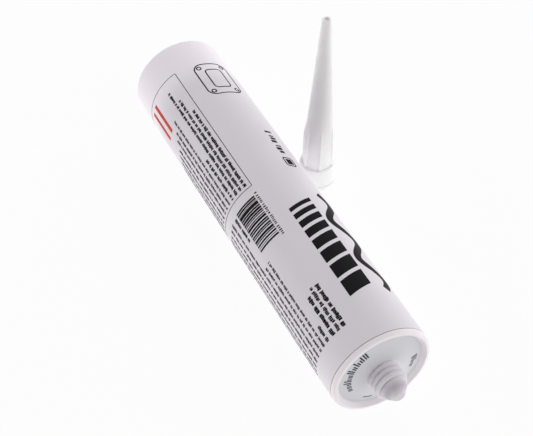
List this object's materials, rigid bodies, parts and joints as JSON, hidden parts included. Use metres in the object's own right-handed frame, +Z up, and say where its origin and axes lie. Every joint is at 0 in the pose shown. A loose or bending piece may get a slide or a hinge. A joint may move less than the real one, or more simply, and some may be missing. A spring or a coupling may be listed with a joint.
{
  "type": "gasket sealant cartridge",
  "caption": "Sealant cartridge lying on its side: plastic barrel with dished head and closed threaded neck, paste fill and sliding piston, with its loose cone nozzle standing by it.",
  "frame": {"origin": "on the surface that the set rests on, at the middle of the set's outline seen from above", "axes": "+Y along the barrel from its neck to its open back, +Z up, +X towards the standing nozzle"},
  "size_m": [0.0795, 0.2382, 0.1055],
  "materials": {
    "barrel_plastic": "moulded white polyethylene, satin, printed in black",
    "sealant_paste": "uncured black paste, wet gloss",
    "piston_plastic": "moulded natural polyethylene, waxy",
    "nozzle_plastic": "moulded natural polyethylene, translucent, waxy"
  },
  "bodies": {
    "cartridge": {"barrel": "barrel_plastic", "sealant": "sealant_paste", "nozzle": "nozzle_plastic"},
    "piston": {"piston": "piston_plastic"}
  },
  "joints": [
    {"name": "piston_slide", "type": "slide", "parent": "cartridge", "child": "piston", "axis": [0, -1, 0], "range_m": [0, 0.185], "deforming": ["sealant"]}
  ]
}
